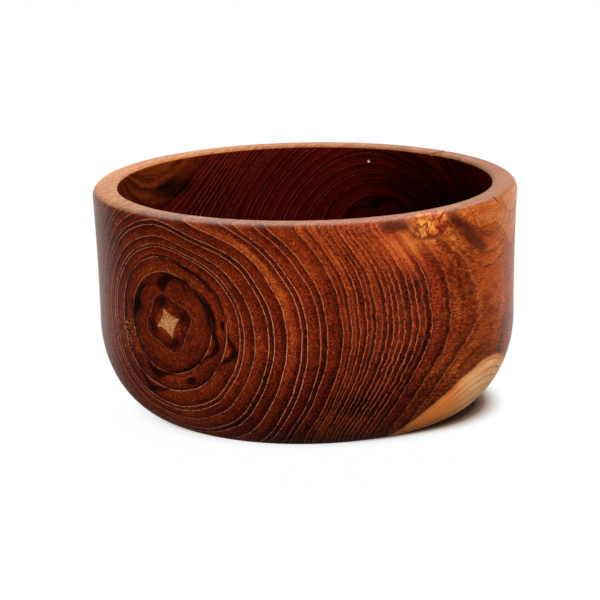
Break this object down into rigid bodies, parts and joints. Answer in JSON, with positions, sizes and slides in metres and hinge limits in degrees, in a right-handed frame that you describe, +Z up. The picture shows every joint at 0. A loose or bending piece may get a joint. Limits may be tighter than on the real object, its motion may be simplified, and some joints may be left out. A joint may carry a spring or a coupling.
{
  "type": "shaving bowl",
  "caption": "Handleless round wooden shaving mug with near-upright walls, a rounded lip and a level floor, for lathering soap with a brush.",
  "frame": {"origin": "centre of the foot, on the plane the bowl stands on", "axes": "+Z up the turning axis, out of the mouth; the face with the pith in it points towards -X and -Y"},
  "size_m": [0.1098, 0.1098, 0.06],
  "materials": {
    "oiled_teak": "satin oil over turned and sanded teak"
  },
  "bodies": {
    "root": {"bowl_body": "oiled_teak"}
  },
  "joints": []
}
